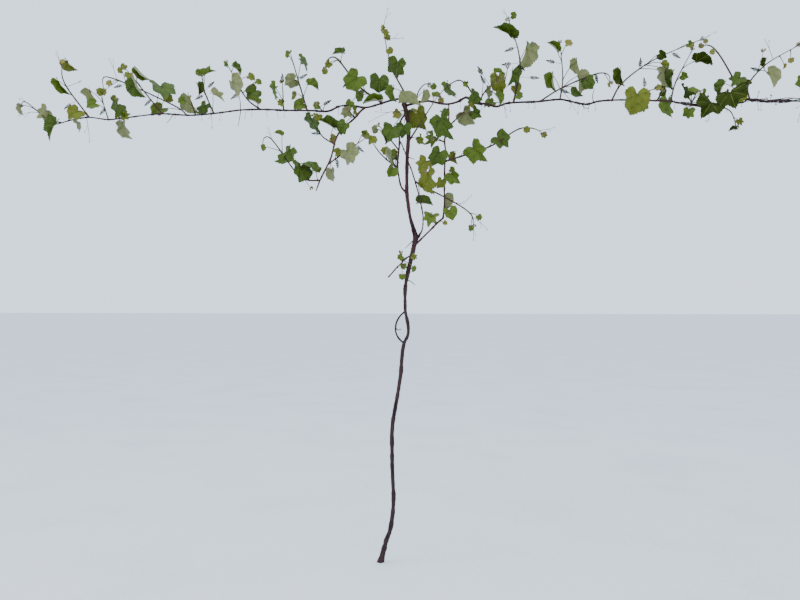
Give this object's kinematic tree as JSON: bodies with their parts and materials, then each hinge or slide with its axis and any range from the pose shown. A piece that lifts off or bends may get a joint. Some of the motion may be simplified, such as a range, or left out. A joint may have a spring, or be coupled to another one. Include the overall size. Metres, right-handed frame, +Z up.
{
  "type": "grapevine",
  "caption": "Young grapevine in spring leaf: a thin leaning trunk, long level arms at head height, hanging canes and short leafy shoots with tendrils and flower buds.",
  "frame": {"origin": "middle of the flat cut under the trunk, at ground level", "axes": "+Z up, +X along the row to the right arm's end, +Y to the far side of the row, away from the viewer"},
  "size_m": [3.2018, 0.2689, 2.1509],
  "materials": {
    "trunk_bark": "dark purple-brown, finely furrowed bark that peels in strips, redder high up",
    "arm_bark": "dark brown, fibrous one-year bark with swollen nodes",
    "cane_bark": "red-brown smooth cane with fine lengthwise lines",
    "leaf": "soft satin green leaf, dark above, pale grey-olive and matt below"
  },
  "bodies": {
    "root": {"trunk": "trunk_bark", "left_arm": "arm_bark", "right_arm": "arm_bark", "hanging_cane": "cane_bark", "second_cane": "cane_bark", "thin_cane": "cane_bark", "renewal_cane_low": "cane_bark", "renewal_cane_up": "cane_bark", "cut_cane": "cane_bark", "shoot_hanging_1": "leaf", "shoot_hanging_2": "leaf", "shoot_hanging_3": "leaf", "shoot_hanging_4": "leaf", "shoot_head_low": "leaf", "shoot_head_tall": "leaf", "shoot_left_01": "leaf", "shoot_left_02": "leaf", "shoot_left_03": "leaf", "shoot_left_04": "leaf", "shoot_left_05": "leaf", "shoot_left_06": "leaf", "shoot_left_07": "leaf", "shoot_left_08": "leaf", "shoot_left_09": "leaf", "shoot_left_11": "leaf", "shoot_left_12": "leaf", "shoot_left_13": "leaf", "shoot_left_14": "leaf", "shoot_low": "leaf", "shoot_renewal_1": "leaf", "shoot_renewal_2": "leaf", "shoot_renewal_3": "leaf", "shoot_renewal_4": "leaf", "shoot_renewal_5": "leaf", "shoot_renewal_6": "leaf", "shoot_renewal_7": "leaf", "shoot_renewal_8": "leaf", "shoot_right_01": "leaf", "shoot_right_02": "leaf", "shoot_right_03": "leaf", "shoot_right_04": "leaf", "shoot_right_05": "leaf", "shoot_right_06": "leaf", "shoot_right_07": "leaf", "shoot_right_09": "leaf", "shoot_right_10": "leaf", "shoot_right_11": "leaf", "shoot_right_12": "leaf", "shoot_right_13": "leaf", "shoot_right_14": "leaf", "shoot_right_15": "leaf", "shoot_right_16": "leaf", "shoot_right_17": "leaf", "shoot_right_18": "leaf", "shoot_right_19": "leaf", "shoot_right_20": "leaf", "shoot_second_1": "leaf", "shoot_second_2": "leaf", "shoot_thin_1": "leaf", "shoot_trunk_1": "leaf"}
  },
  "joints": []
}
